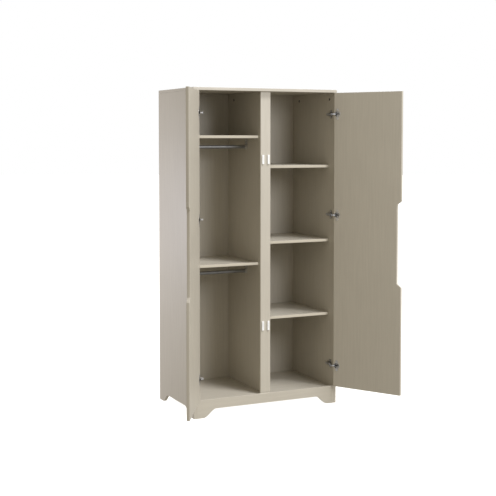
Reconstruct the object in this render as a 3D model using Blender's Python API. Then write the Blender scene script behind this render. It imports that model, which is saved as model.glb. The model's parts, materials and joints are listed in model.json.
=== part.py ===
"""Two-door wardrobe on shaped feet, doors standing open.

Lengths are in millimetres here and become metres in the meshes. +Z is up, the front faces -Y and the
origin is on the floor, under the middle of the box around the whole piece with its doors open.

Fittings are laid out in a plan that serves both sides: u runs inwards from the outer face of a side
panel, v runs forwards from the front plane.
"""

import math

import bmesh
import bpy
from mathutils import Vector

MM = 0.001
LEFT = -1
RIGHT = 1
OVERCUT = 1.0
SHARP_ANGLE = 35.0
ROUND_STEPS = 28
SMALL_ROUND_STEPS = 16

# Carcass
WIDTH = 900.0
DEPTH = 530.0
HEIGHT = 1830.0
BOARD = 16.0
SEAT = 0.3
EDGE_ROUND = 1.0
PLINTH_TOP = 102.0
FLOOR_TOP = 94.0
BACK_SET_IN = 16.0
BACK_THICK = 3.0
GROOVE_DEEP = 6.0
REAR_RAIL_HIGH = 24.0
STILE_WIDE = 62.0
STILE_SET_BACK = 23.0

# Shaped feet
FOOT_FLAT = 55.0
FOOT_CURVE = 80.0
ARCH_HIGH = 48.0
CURVE_STEPS = 12

# Shelves
TOP_BAY_HIGH = 247.0
LOWER_BAY_SHARE = 0.507
RIGHT_BAYS = 4
LEFT_SHELF_SET_BACK = 102.0
RIGHT_SHELF_SET_BACK = 66.0

# Hanging rails
RAIL_RADIUS = 10.0
RAIL_WALL = 1.2
RAIL_BELOW_SHELF = 50.0
SOCKET_WALL = 3.0
SOCKET_LONG = 13.0
BRACKET_WIDE = 28.0
BRACKET_THICK = 3.0
RAIL_PLAY = 0.3

# Doors
DOOR_GAP = 2.0
DOOR_OPEN = 120.0
DOOR_AXIS = (13.0, 4.0)
GRIP_LONG = 493.0
GRIP_DEEP = 26.0
GRIP_CURVE = 27.0

# Catches on the stile
CATCH_SHARE = 0.223
CATCH_FROM_MIDDLE = 17.0
CATCH_WIDE = 12.5
CATCH_TALL = 52.0
CATCH_SLOT_WIDE = 3.0
CATCH_SLOT_TALL = 30.0
CATCH_SLOT_DEEP = 1.6
CATCH_GAP = 0.5

# Concealed hinges
HINGE_FROM_TOP = 122.0
HINGE_FROM_FOOT = 123.0
HINGE_MIDDLE_SHARE = 0.587
CUP_RADIUS = 17.2
CUP_PLAY = 0.3
CUP_DEEP = 11.3
CUP_WALL = 1.2
CUP_FLOOR = 0.9
CUP_FROM_EDGE = 22.0
FLANGE_THICK = 1.2
FLANGE_RIM = 1.9
EAR_REACH = 24.5
EAR_RADIUS = 8.0
CUP_PIN_FROM_EDGE = 23.0
CUP_PIN_DEEP = 3.4
PIN_RADIUS = 1.8
PIN_PLAY = 0.2
ARM_PIVOT = (32.5, -20.0)
OUTER_LINK_TURN = 90.0
INNER_LINK_TURN = 5.0
LINK_HALF_WIDE = 3.2
LINK_HALF_THICK = 2.7
LINK_SIDE_GAP = 0.3
LINK_PLATE = 1.6
TONGUE_ROOT = 6.0
STUB_GAP = 0.5
ARM_BACK = -66.0
ARM_FRONT = -25.5
ARM_HALF_TALL = 7.0
ARM_OUT = 33.0
PLATE_THICK = 2.2
PLATE_BACK = -68.0
PLATE_FRONT = -21.0
PLATE_HALF_TALL = 9.0
WING_BACK = -46.0
WING_FRONT = -28.0
WING_HALF_TALL = 24.0
FITTING_ROUND = 0.5

HALF_WIDTH = WIDTH / 2
INNER_HALF = HALF_WIDTH - BOARD
TOP_UNDERSIDE = HEIGHT - BOARD
BACK_FACE = DEPTH - BACK_SET_IN
BACK_EDGE = BACK_FACE - SEAT
RAIL_FROM_FRONT = BACK_FACE / 2
PARTITION_FRONT = STILE_SET_BACK + BOARD + SEAT
DOOR_WIDE = INNER_HALF - 1.5 * DOOR_GAP
DOOR_EDGE = BOARD + DOOR_GAP
DOOR_LOW = PLINTH_TOP + DOOR_GAP
DOOR_TOP = TOP_UNDERSIDE - DOOR_GAP
DOOR_HIGH = DOOR_TOP - DOOR_LOW
DOOR_MIDDLE = (DOOR_TOP + DOOR_LOW) / 2
GRIP_LOW = DOOR_MIDDLE - GRIP_LONG / 2
GRIP_HIGH = DOOR_MIDDLE + GRIP_LONG / 2
CATCH_HEIGHTS = {
    "upper": DOOR_TOP - CATCH_SHARE * DOOR_HIGH,
    "lower": DOOR_LOW + CATCH_SHARE * DOOR_HIGH,
}
HINGE_HEIGHTS = {
    "lower": DOOR_LOW + HINGE_FROM_FOOT,
    "middle": DOOR_LOW + HINGE_MIDDLE_SHARE * DOOR_HIGH,
    "upper": DOOR_TOP - HINGE_FROM_TOP,
}

BRACKET_RISE = RAIL_BELOW_SHELF - BRACKET_WIDE / 2 - SEAT

# Heights of the shelves' top faces
UPPER_SHELF_TOP = TOP_UNDERSIDE - TOP_BAY_HIGH
LEFT_SHELF_TOPS = {
    "upper": UPPER_SHELF_TOP,
    "lower": FLOOR_TOP + LOWER_BAY_SHARE * (UPPER_SHELF_TOP - FLOOR_TOP),
}
RIGHT_PITCH = (HEIGHT - FLOOR_TOP) / RIGHT_BAYS
RIGHT_SHELF_TOPS = {
    "upper": FLOOR_TOP + 3 * RIGHT_PITCH,
    "middle": FLOOR_TOP + 2 * RIGHT_PITCH,
    "lower": FLOOR_TOP + RIGHT_PITCH,
}


def turned(point, degrees):
    """A plan point turned about the plan's origin."""
    c = math.cos(math.radians(degrees))
    s = math.sin(math.radians(degrees))
    return (point[0] * c - point[1] * s, point[0] * s + point[1] * c)


def minus(a, b):
    return (a[0] - b[0], a[1] - b[1])


def plus(a, b):
    return (a[0] + b[0], a[1] + b[1])


def opened(point):
    """Where a plan point of the shut door is with the door open."""
    return plus(DOOR_AXIS, turned(minus(point, DOOR_AXIS), DOOR_OPEN))


DOOR_REACH = opened((DOOR_EDGE + DOOR_WIDE, -BOARD))[1]
FRONT_Y = -(DEPTH - DOOR_REACH) / 2

CUP_PIN = (DOOR_EDGE + CUP_PIN_FROM_EDGE, CUP_PIN_DEEP - BOARD)


def link_vectors():
    """The two links of a shut hinge in plan: together they join the arm's pivot to the cup's pin,
    with the door shut and, each turned by its own angle, with the door open."""
    shut = complex(*minus(CUP_PIN, ARM_PIVOT))
    wide = complex(*minus(opened(CUP_PIN), ARM_PIVOT))
    outer_turn = complex(*turned((1.0, 0.0), OUTER_LINK_TURN))
    inner_turn = complex(*turned((1.0, 0.0), INNER_LINK_TURN))
    outer = (wide - inner_turn * shut) / (outer_turn - inner_turn)
    inner = shut - outer
    return (outer.real, outer.imag), (inner.real, inner.imag)


OUTER_LINK, INNER_LINK = link_vectors()


def depth(from_front):
    """World Y of a distance behind the front plane."""
    return FRONT_Y + from_front


def place(side, point, origin=(0.0, 0.0)):
    """Local X and Y, on this side, of a plan point as seen from a plan origin."""
    return (-side * (point[0] - origin[0]), -(point[1] - origin[1]))


def world(side, point):
    """World X and Y of a plan point on this side."""
    return (side * (HALF_WIDTH - point[0]), FRONT_Y - point[1])


def ease(t):
    """S-curve from 0 to 1, level at both ends."""
    return t * t * (3.0 - 2.0 * t)


def circle(centre, radius, steps=ROUND_STEPS):
    turns = [2 * math.pi * i / steps for i in range(steps)]
    return [(centre[0] + radius * math.cos(a), centre[1] + radius * math.sin(a)) for a in turns]


def capsule(start, end, radius, steps=SMALL_ROUND_STEPS // 2):
    """Outline of a bar with round ends."""
    heading = math.atan2(end[1] - start[1], end[0] - start[0])
    outline = []
    for centre, first in ((end, heading - math.pi / 2), (start, heading + math.pi / 2)):
        for i in range(steps + 1):
            a = first + math.pi * i / steps
            outline.append((centre[0] + radius * math.cos(a), centre[1] + radius * math.sin(a)))
    return outline


def rectangle(low, high):
    return [(low[0], low[1]), (high[0], low[1]), (high[0], high[1]), (low[0], high[1])]


def mesh_from(name, bm):
    bmesh.ops.recalc_face_normals(bm, faces=bm.faces)
    mesh = bpy.data.meshes.new(name)
    bm.to_mesh(mesh)
    bm.free()
    return mesh


def prism(name, outline, low, high, axis="Z"):
    """Closed solid from a flat outline pushed along an axis. The outline's two numbers are the other
    two axes in X, Y, Z order."""
    bm = bmesh.new()
    rings = []
    for level in (low, high):
        ring = []
        for a, b in outline:
            spot = {"X": (level, a, b), "Y": (a, level, b), "Z": (a, b, level)}[axis]
            ring.append(bm.verts.new(Vector(spot) * MM))
        rings.append(ring)
    bm.faces.new(rings[0])
    bm.faces.new(rings[1])
    count = len(outline)
    for i in range(count):
        j = (i + 1) % count
        bm.faces.new((rings[0][i], rings[0][j], rings[1][j], rings[1][i]))
    return mesh_from(name, bm)


def box(name, x, y, z):
    return prism(name, rectangle((x[0], y[0]), (x[1], y[1])), z[0], z[1])


def lathe(name, profile, centre, steps):
    """Closed solid turned about an axis along Y through a centre in X and Z. The profile is a closed
    loop of radius and Y, and a radius of nought is a single point on the axis."""
    bm = bmesh.new()
    rings = []
    for radius, y in profile:
        if radius == 0.0:
            rings.append([bm.verts.new(Vector((centre[0], y, centre[1])) * MM)])
            continue
        ring = [bm.verts.new(Vector((p[0], y, p[1])) * MM) for p in circle(centre, radius, steps)]
        rings.append(ring)
    for first, second in zip(rings, rings[1:]):
        for i in range(steps):
            j = (i + 1) % steps
            corners = [first[i % len(first)], first[j % len(first)]]
            corners += [second[j % len(second)], second[i % len(second)]]
            bm.faces.new(list(dict.fromkeys(corners)))
    return mesh_from(name, bm)


def material(name, colour, roughness, metallic=0.0):
    made = bpy.data.materials.new(name)
    made.use_nodes = True
    shader = made.node_tree.nodes["Principled BSDF"]
    shader.inputs["Base Color"].default_value = (*colour, 1.0)
    shader.inputs["Roughness"].default_value = roughness
    shader.inputs["Metallic"].default_value = metallic
    made.diffuse_color = (*colour, 1.0)
    return made


def put(name, mesh, finish, parent=None, location=(0.0, 0.0, 0.0)):
    """A named sub-part in the scene."""
    obj = bpy.data.objects.new(name, mesh)
    bpy.context.scene.collection.objects.link(obj)
    if not mesh.materials:
        mesh.materials.append(finish)
    obj.parent = parent
    obj.location = Vector(location) * MM
    return obj


def soften(obj, width=EDGE_ROUND, segments=2):
    """Rounds the sharp edges."""
    bevel = obj.modifiers.new("edge_round", "BEVEL")
    bevel.width = width * MM
    bevel.segments = segments
    bevel.limit_method = "ANGLE"
    bevel.angle_limit = math.radians(SHARP_ANGLE)
    bevel.use_clamp_overlap = True


def smooth(mesh):
    mesh.shade_smooth()
    mesh.set_sharp_from_angle(angle=math.radians(SHARP_ANGLE))


def cut(obj, tool_mesh, location=(0.0, 0.0, 0.0)):
    """Takes a solid out of a sub-part."""
    tool = bpy.data.objects.new(tool_mesh.name, tool_mesh)
    bpy.context.scene.collection.objects.link(tool)
    tool.parent = obj.parent
    tool.location = Vector(location) * MM
    tool.hide_render = True
    tool.display_type = "WIRE"
    boolean = obj.modifiers.new(tool_mesh.name, "BOOLEAN")
    boolean.operation = "DIFFERENCE"
    boolean.solver = "EXACT"
    boolean.object = tool


def combined(name, base, added=(), removed=()):
    """One mesh from solids that are joined, then others that are taken away."""
    helpers = [bpy.data.objects.new(name + "_base", base)]
    for kind, meshes in (("UNION", added), ("DIFFERENCE", removed)):
        for mesh in meshes:
            helper = bpy.data.objects.new(mesh.name, mesh)
            helpers.append(helper)
            boolean = helpers[0].modifiers.new(mesh.name, "BOOLEAN")
            boolean.operation = kind
            boolean.solver = "EXACT"
            boolean.object = helper
    for helper in helpers:
        bpy.context.scene.collection.objects.link(helper)
    bpy.context.view_layer.update()
    graph = bpy.context.evaluated_depsgraph_get()
    result = bpy.data.meshes.new_from_object(helpers[0].evaluated_get(graph))
    result.name = name
    for helper in helpers:
        bpy.data.objects.remove(helper)
    return result


def axis_empty(name, side, point, degrees, parent=None, origin=None):
    """An empty on a vertical joint axis, turned from shut to open."""
    empty = bpy.data.objects.new(name, None)
    bpy.context.scene.collection.objects.link(empty)
    empty.empty_display_size = 0.03
    x, y = world(side, point) if origin is None else place(side, point, origin)
    empty.parent = parent
    empty.location = Vector((x, y, 0.0)) * MM
    empty.rotation_euler = (0.0, 0.0, math.radians(side * degrees))
    return empty


def footed(near, far, top, flat):
    """A board's face with a foot at each end and an arch between them, as across and height."""
    rise = [i / CURVE_STEPS for i in range(CURVE_STEPS + 1)]
    low = near + flat
    high = far - flat
    outline = [(near, top), (near, 0.0)]
    outline += [(low + t * FOOT_CURVE, ARCH_HIGH * ease(t)) for t in rise]
    outline += [(high - t * FOOT_CURVE, ARCH_HIGH * ease(t)) for t in reversed(rise)]
    outline += [(far, 0.0), (far, top)]
    return outline


def carcass(board, panel_back):
    """Side panels, top, bottom, plinth, rear rail, partition, stile and backs."""
    slot = (depth(BACK_FACE - SEAT), depth(BACK_FACE + BACK_THICK + SEAT))
    back_low = FLOOR_TOP - BOARD
    back_high = TOP_UNDERSIDE + GROOVE_DEEP - SEAT
    for side, label in ((LEFT, "left"), (RIGHT, "right")):
        outline = footed(depth(0.0), depth(DEPTH), TOP_UNDERSIDE - SEAT, FOOT_FLAT)
        span = sorted((side * INNER_HALF, side * HALF_WIDTH))
        panel = put(label + "_side_panel", prism(label + "_side_panel", outline, *span, axis="X"), board)
        soften(panel)
        groove_x = sorted((side * (INNER_HALF - OVERCUT), side * (INNER_HALF + GROOVE_DEEP)))
        groove_z = (back_low - SEAT, HEIGHT)
        cut(panel, box(label + "_side_groove", groove_x, slot, groove_z))

        back_x = sorted((side * SEAT, side * (INNER_HALF + GROOVE_DEEP - SEAT)))
        back_y = (depth(BACK_FACE), depth(BACK_FACE + BACK_THICK))
        back = box(label + "_back_panel", back_x, back_y, (back_low, back_high))
        put(label + "_back_panel", back, panel_back)

    across = (-INNER_HALF + SEAT, INNER_HALF - SEAT)
    top = box("top_panel", (-HALF_WIDTH, HALF_WIDTH), (depth(0.0), depth(DEPTH)), (TOP_UNDERSIDE, HEIGHT))
    top_panel = put("top_panel", top, board)
    soften(top_panel)
    groove_half = INNER_HALF + GROOVE_DEEP
    groove_z = (TOP_UNDERSIDE - OVERCUT, TOP_UNDERSIDE + GROOVE_DEEP)
    cut(top_panel, box("top_groove", (-groove_half, groove_half), slot, groove_z))

    floor_y = (depth(BOARD + SEAT), depth(BACK_EDGE))
    floor = box("bottom_panel", across, floor_y, (FLOOR_TOP - BOARD, FLOOR_TOP))
    put("bottom_panel", floor, board)

    outline = footed(across[0], across[1], PLINTH_TOP, FOOT_FLAT - BOARD - SEAT)
    plinth = prism("front_plinth", outline, depth(0.0), depth(BOARD), axis="Y")
    soften(put("front_plinth", plinth, board))

    rail_z = (FLOOR_TOP - BOARD - SEAT - REAR_RAIL_HIGH, FLOOR_TOP - BOARD - SEAT)
    rail_y = (depth(BACK_EDGE - BOARD), depth(BACK_EDGE))
    put("rear_rail", box("rear_rail", across, rail_y, rail_z), board)

    upright_z = (FLOOR_TOP + SEAT, TOP_UNDERSIDE - SEAT)
    partition_y = (depth(PARTITION_FRONT), depth(BACK_EDGE))
    partition = box("centre_partition", (-BOARD / 2, BOARD / 2), partition_y, upright_z)
    put("centre_partition", partition, board)
    stile_y = (depth(STILE_SET_BACK), depth(STILE_SET_BACK + BOARD))
    stile_x = (-STILE_WIDE / 2, STILE_WIDE / 2)
    soften(put("centre_stile", box("centre_stile", stile_x, stile_y, upright_z), board))


def shelves(board):
    bays = ((LEFT, "left", LEFT_SHELF_TOPS, LEFT_SHELF_SET_BACK),
            (RIGHT, "right", RIGHT_SHELF_TOPS, RIGHT_SHELF_SET_BACK))
    for side, label, tops, set_back in bays:
        x = sorted((side * (BOARD / 2 + SEAT), side * (INNER_HALF - SEAT)))
        for level, top in tops.items():
            name = f"{label}_{level}_shelf"
            shelf = box(name, x, (depth(set_back), depth(BACK_EDGE)), (top - BOARD, top))
            soften(put(name, shelf, board))


def rail_bracket(name, facing):
    """End socket of a hanging rail, its wall face at X = 0 and its mouth towards the facing side."""
    half = BRACKET_WIDE / 2
    plate_x = sorted((0.0, facing * BRACKET_THICK))
    plate = prism(name + "_plate", capsule((0.0, 0.0), (0.0, BRACKET_RISE), half), *plate_x, axis="X")
    socket_x = sorted((facing * BRACKET_THICK / 2, facing * SOCKET_LONG))
    bore = RAIL_RADIUS + RAIL_PLAY
    socket = prism(name + "_socket", circle((0.0, 0.0), bore + SOCKET_WALL), *socket_x, axis="X")
    bore_x = sorted((facing * BRACKET_THICK, facing * (SOCKET_LONG + OVERCUT)))
    hole = prism(name + "_bore", circle((0.0, 0.0), bore), *bore_x, axis="X")
    mesh = combined(name, plate, (socket,), (hole,))
    smooth(mesh)
    return mesh


def hanging_rails(steel, bracket_finish):
    wall = -INNER_HALF + SEAT
    middle = -BOARD / 2 - SEAT
    y = depth(RAIL_FROM_FRONT)
    outer = rail_bracket("rail_bracket_outer", 1)
    inner = rail_bracket("rail_bracket_inner", -1)
    ends = (wall + BRACKET_THICK + RAIL_PLAY, middle - BRACKET_THICK - RAIL_PLAY)
    bar = prism("hanging_rail_bar", circle((0.0, 0.0), RAIL_RADIUS), *ends, axis="X")
    bore_ends = (ends[0] - OVERCUT, ends[1] + OVERCUT)
    bore = prism("hanging_rail_bore", circle((0.0, 0.0), RAIL_RADIUS - RAIL_WALL), *bore_ends, axis="X")
    tube = combined("hanging_rail", bar, removed=(bore,))
    smooth(tube)
    for level, top in LEFT_SHELF_TOPS.items():
        z = top - BOARD - RAIL_BELOW_SHELF
        put(level + "_hanging_rail", tube, steel, location=(0.0, y, z))
        put(level + "_rail_bracket_outer", outer, bracket_finish, location=(wall, y, z))
        put(level + "_rail_bracket_inner", inner, bracket_finish, location=(middle, y, z))


def door_outline(side):
    """A shut door's face seen from its hinge axis, with the finger cut-out in its free edge."""
    hinge_edge = DOOR_EDGE
    free_edge = DOOR_EDGE + DOOR_WIDE
    rise = [i / CURVE_STEPS for i in range(CURVE_STEPS + 1)]
    grip = [(free_edge - GRIP_DEEP * ease(t), GRIP_LOW + GRIP_CURVE * t) for t in rise]
    grip += [(free_edge - GRIP_DEEP * ease(t), GRIP_HIGH - GRIP_CURVE * t) for t in reversed(rise)]
    outline = [(hinge_edge, DOOR_LOW), (free_edge, DOOR_LOW)] + grip
    outline += [(free_edge, DOOR_TOP), (hinge_edge, DOOR_TOP)]
    return [(place(side, (u, 0.0), DOOR_AXIS)[0], z) for u, z in outline]


def hinge_cup(name, side):
    """Sunk cup with a flange and two stub pins, seen from the door's axis, its middle at height 0."""
    face = place(side, (0.0, -BOARD), DOOR_AXIS)[1]
    middle = place(side, (DOOR_EDGE + CUP_FROM_EDGE, 0.0), DOOR_AXIS)[0]
    rim = face + SEAT
    lip = rim + FLANGE_THICK
    inner = CUP_RADIUS - CUP_WALL
    bottom = face - CUP_DEEP
    profile = [(0.0, bottom), (CUP_RADIUS, bottom), (CUP_RADIUS, rim), (CUP_RADIUS + FLANGE_RIM, rim)]
    profile += [(CUP_RADIUS + FLANGE_RIM, lip), (inner, lip), (inner, bottom + CUP_FLOOR)]
    profile += [(0.0, bottom + CUP_FLOOR)]
    cup = lathe(name + "_cup", profile, (middle, 0.0), ROUND_STEPS)
    ears = []
    for way in (-1, 1):
        ear = capsule((middle, way * inner), (middle, way * EAR_REACH), EAR_RADIUS)
        ears.append(prism(f"{name}_ear{way}", ear, rim, lip, axis="Y"))
    well_y = (bottom + CUP_FLOOR, lip + OVERCUT)
    well = prism(name + "_well", circle((middle, 0.0), inner), *well_y, axis="Y")
    pin = place(side, CUP_PIN, DOOR_AXIS)
    near = LINK_HALF_THICK + STUB_GAP
    far = inner + CUP_WALL / 2
    pins = []
    for way in (-1, 1):
        span = sorted((way * near, way * far))
        pins.append(prism(f"{name}_pin{way}", circle(pin, PIN_RADIUS, SMALL_ROUND_STEPS), *span))
    shell = combined(name + "_shell", cup, ears, (well,))
    mesh = combined(name, shell, pins)
    smooth(mesh)
    return mesh


def doors(board, steel):
    """Doors with their hinge cups, laid out shut about their axes and then swung open."""
    for side, label in ((LEFT, "left"), (RIGHT, "right")):
        axis = axis_empty(label + "_door_axis", side, DOOR_AXIS, DOOR_OPEN)
        thick = sorted(place(side, (0.0, v), DOOR_AXIS)[1] for v in (0.0, -BOARD))
        slab = prism(label + "_door", door_outline(side), *thick, axis="Y")
        door = put(label + "_door", slab, board, axis)
        soften(door)
        face = thick[1]
        cup_x = place(side, (DOOR_EDGE + CUP_FROM_EDGE, 0.0), DOOR_AXIS)[0]
        pocket_y = (face - CUP_DEEP - CUP_PLAY, face + OVERCUT)
        cup_mesh = hinge_cup(label + "_hinge_cup", side)
        for level, z in HINGE_HEIGHTS.items():
            pocket = circle((cup_x, z), CUP_RADIUS + CUP_PLAY)
            cut(door, prism(f"{label}_{level}_pocket", pocket, *pocket_y, axis="Y"))
            put(f"{label}_{level}_hinge_cup", cup_mesh, steel, axis, (0.0, 0.0, z))


def catches(finish):
    """Catches on the stile, facing the shut doors."""
    front = BOARD + CATCH_GAP
    back = STILE_SET_BACK - SEAT
    half = (CATCH_WIDE / 2, CATCH_TALL / 2)
    outline = rectangle((-half[0], -half[1]), half)
    slot_half = (CATCH_SLOT_WIDE / 2, CATCH_SLOT_TALL / 2)
    slot = rectangle((-slot_half[0], -slot_half[1]), slot_half)
    slot_y = (depth(front - OVERCUT), depth(front + CATCH_SLOT_DEEP))
    for side, label in ((LEFT, "left"), (RIGHT, "right")):
        for level, z in CATCH_HEIGHTS.items():
            name = f"{label}_{level}_catch"
            spot = (side * CATCH_FROM_MIDDLE, 0.0, z)
            body = prism(name, outline, depth(front), depth(back), axis="Y")
            catch = put(name, body, finish, location=spot)
            soften(catch, FITTING_ROUND, 1)
            cut(catch, prism(name + "_slot", slot, *slot_y, axis="Y"), spot)


def pin_hole(name):
    """Cutter for a pivot hole through a tongue or a bar, on the pivot."""
    outline = circle((0.0, 0.0), PIN_RADIUS + PIN_PLAY, SMALL_ROUND_STEPS)
    reach = LINK_HALF_THICK + OVERCUT
    return prism(name + "_hole", outline, -reach, reach)


def hinge_arm(name, side):
    """Arm on its wing plate, seen from the arm's pivot, its middle at height 0."""
    wall = BOARD + SEAT
    plate_u = (wall, wall + PLATE_THICK)

    def bar(label, u, v, half):
        a = place(side, (u[0], v[0]), ARM_PIVOT)
        b = place(side, (u[1], v[1]), ARM_PIVOT)
        low = (min(a[0], b[0]), min(a[1], b[1]))
        high = (max(a[0], b[0]), max(a[1], b[1]))
        return prism(name + label, rectangle(low, high), -half, half)

    plate = bar("_plate", plate_u, (PLATE_BACK, PLATE_FRONT), PLATE_HALF_TALL)
    wings = bar("_wings", plate_u, (WING_BACK, WING_FRONT), WING_HALF_TALL)
    body = bar("_body", (wall + PLATE_THICK / 2, ARM_OUT), (ARM_BACK, ARM_FRONT), ARM_HALF_TALL)
    tongue_root = place(side, (ARM_PIVOT[0] - TONGUE_ROOT, ARM_FRONT - TONGUE_ROOT), ARM_PIVOT)
    tongue = prism(name + "_tongue", capsule(tongue_root, (0.0, 0.0), LINK_HALF_WIDE),
                   -LINK_HALF_THICK, LINK_HALF_THICK)
    return combined(name, plate, (wings, body, tongue), (pin_hole(name),))


def outer_link(name, side):
    """Fork of two plates on two pins, from the arm's pivot to the knee."""
    knee = place(side, OUTER_LINK)
    inside = LINK_HALF_THICK + LINK_SIDE_GAP
    outside = inside + LINK_PLATE
    bar = capsule((0.0, 0.0), knee, LINK_HALF_WIDE)
    lower = prism(name + "_lower", bar, -outside, -inside)
    upper = prism(name + "_upper", bar, inside, outside)
    pins = []
    for label, spot in (("_arm_pin", (0.0, 0.0)), ("_knee_pin", knee)):
        reach = inside + LINK_PLATE / 2
        pins.append(prism(name + label, circle(spot, PIN_RADIUS, SMALL_ROUND_STEPS), -reach, reach))
    mesh = combined(name, lower, (pins[0], pins[1], upper))
    smooth(mesh)
    return mesh


def inner_link(name, side):
    """Single bar from the knee to the cup."""
    tip = place(side, INNER_LINK)
    outline = capsule((0.0, 0.0), tip, LINK_HALF_WIDE)
    bar = prism(name + "_bar", outline, -LINK_HALF_THICK, LINK_HALF_THICK)
    mesh = combined(name, bar, removed=(pin_hole(name),))
    smooth(mesh)
    return mesh


def hinges(steel):
    """Arms on the side panels, and the links that carry the doors."""
    for side, label in ((LEFT, "left"), (RIGHT, "right")):
        arm = hinge_arm(label + "_hinge_arm", side)
        fork = outer_link(label + "_outer_link", side)
        bar = inner_link(label + "_inner_link", side)
        fork_axis = axis_empty(label + "_outer_link_axis", side, ARM_PIVOT, OUTER_LINK_TURN)
        knee_turn = INNER_LINK_TURN - OUTER_LINK_TURN
        knee_name = label + "_inner_link_axis"
        knee_axis = axis_empty(knee_name, side, OUTER_LINK, knee_turn, fork_axis, (0.0, 0.0))
        pivot = world(side, ARM_PIVOT)
        for level, z in HINGE_HEIGHTS.items():
            put(f"{label}_{level}_hinge_arm", arm, steel, location=(pivot[0], pivot[1], z))
            put(f"{label}_{level}_outer_link", fork, steel, fork_axis, (0.0, 0.0, z))
            put(f"{label}_{level}_inner_link", bar, steel, knee_axis, (0.0, 0.0, z))


def main():
    for obj in list(bpy.data.objects):
        bpy.data.objects.remove(obj)
    board = material("cream_board", (0.62, 0.58, 0.50), 0.45)
    panel_back = material("cream_back_board", (0.60, 0.56, 0.48), 0.6)
    steel = material("bright_steel", (0.72, 0.72, 0.72), 0.3, 1.0)
    rail_steel = material("rail_steel", (0.60, 0.62, 0.65), 0.25, 1.0)
    bracket_finish = material("rail_bracket_finish", (0.70, 0.70, 0.70), 0.4)
    catch_finish = material("catch_plastic", (0.88, 0.87, 0.84), 0.4)
    carcass(board, panel_back)
    shelves(board)
    hanging_rails(rail_steel, bracket_finish)
    doors(board, steel)
    catches(catch_finish)
    hinges(steel)


main()
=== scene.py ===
"""Looks of a two-door wardrobe in cream lacquer, its doors standing open.

Laid out as an add-on and run as a script. Lengths are metres, +Z is up, the front faces -Y.
"""

import json
import math

import bmesh
import bpy
from mathutils import Matrix, Vector


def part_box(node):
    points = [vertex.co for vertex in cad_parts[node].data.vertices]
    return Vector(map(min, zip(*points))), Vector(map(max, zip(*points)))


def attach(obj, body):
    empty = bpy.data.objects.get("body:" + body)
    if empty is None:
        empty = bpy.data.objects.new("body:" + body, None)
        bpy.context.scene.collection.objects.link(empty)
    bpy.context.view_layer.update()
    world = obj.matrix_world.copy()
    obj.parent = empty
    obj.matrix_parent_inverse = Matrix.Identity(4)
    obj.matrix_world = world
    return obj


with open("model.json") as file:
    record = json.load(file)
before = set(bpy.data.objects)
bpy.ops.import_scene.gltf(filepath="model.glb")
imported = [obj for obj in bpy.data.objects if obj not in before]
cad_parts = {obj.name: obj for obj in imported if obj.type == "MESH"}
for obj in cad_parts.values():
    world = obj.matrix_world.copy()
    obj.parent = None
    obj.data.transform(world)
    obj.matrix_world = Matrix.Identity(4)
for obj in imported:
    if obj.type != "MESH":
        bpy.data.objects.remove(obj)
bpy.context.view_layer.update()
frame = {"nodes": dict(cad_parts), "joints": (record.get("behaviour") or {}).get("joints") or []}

bl_info = {
    "name": "Cream Wardrobe",
    "version": (1, 0, 0),
    "blender": (4, 5, 0),
    "location": "3D View > Sidebar > Wardrobe",
    "description": "Finishes, small fittings and studio for a two-door wardrobe",
    "category": "Object",
}

MM = 0.001
SIDES = (("left", -1), ("right", 1))
HINGE_LEVELS = ("lower", "middle", "upper")
ROUND_STEPS = 24
SHARP_ANGLE = 35.0

# Boards, by the way their grain runs
UPRIGHT_BOARDS = ("left_side_panel", "right_side_panel", "centre_partition", "centre_stile")
LEVEL_BOARDS = ("top_panel", "bottom_panel", "front_plinth", "rear_rail")
LEFT_SHELVES = ("left_upper_shelf", "left_lower_shelf")
RIGHT_SHELVES = ("right_upper_shelf", "right_middle_shelf", "right_lower_shelf")
GRAIN_STRETCH = 28.0

# Bands on the front edges of the shelves and the free edges of the doors
BAND_THICK = 0.6 * MM
BAND_SUNK = 0.3 * MM
BAND_SHORT = 0.5 * MM
BAND_ROUND = 0.5 * MM
BAND_STEPS = 4
DOOR_THICK = 16 * MM
DOOR_ROUND = 1.2 * MM
DOOR_FROM_MIDDLE = 1 * MM
GRIP_LONG = 493 * MM
GRIP_DEEP = 26 * MM
GRIP_CURVE = 27 * MM
GRIP_STEPS = 12

# Where the small fittings sit
CAM_BELOW_TOP = 37 * MM
CAM_FROM_FRONT = (57 * MM, 432 * MM)
CAM_FROM_END = 34 * MM
PIN_FROM_FRONT = 37 * MM
PIN_FROM_BACK = 45 * MM
BRACKET_PLATE = 3 * MM
BRACKET_SCREW_RISE = (21 * MM, 37 * MM)
EAR_SCREW_REACH = 24.5 * MM
FLANGE_FACE = 17.5 * MM
WING_FACE = 18.5 * MM
WING_SCREW_BACK = 37 * MM
WING_SCREW_REACH = 17 * MM
ARM_FACE = 33 * MM
ARM_SCREW_BACK = (33 * MM, 55 * MM)
CUP_FROM_SIDE = 40 * MM
# Painted shade on the hinges: the cup's mouth lies this share of the way from the cup pin to the elbow, and
# the cup's mouth and the link's ends darken within these reaches
CUP_MOUTH = 0.3
CUP_SHADE_REACH = 13 * MM
LINK_SHADE_REACH = 22 * MM
ELBOW_SHADE_REACH = 17 * MM
NAIL_FROM_JOINT = 4.5 * MM
NAIL_PITCH = 190 * MM

# Heads with a sunk cross: height, depth of the cross, then its reach and half width as shares of the radius
SCREW_HEAD = (1.5 * MM, 1.0 * MM, 0.62, 0.16)
ARM_SCREW_HEAD = (1.2 * MM, 0.9 * MM, 0.62, 0.16)
CAM_HEAD = (0.8 * MM, 0.6 * MM, 0.55, 0.13)
CHAMFER_OF_HEIGHT = 0.45
CHAMFER_OF_RADIUS = 0.2
CROSS_TAPER = 0.8

# Shelf pins, and the radius and height of each point up a nail's head
PIN_COLLAR = 1.5 * MM
PIN_COLLAR_WIDE = 1.5
PIN_CHAMFER = 0.6 * MM
NAIL_HEAD = ((0.0, 0.0), (1.9 * MM, 0.0), (1.9 * MM, 0.25 * MM), (1.4 * MM, 0.5 * MM), (0.0, 0.6 * MM))

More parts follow.
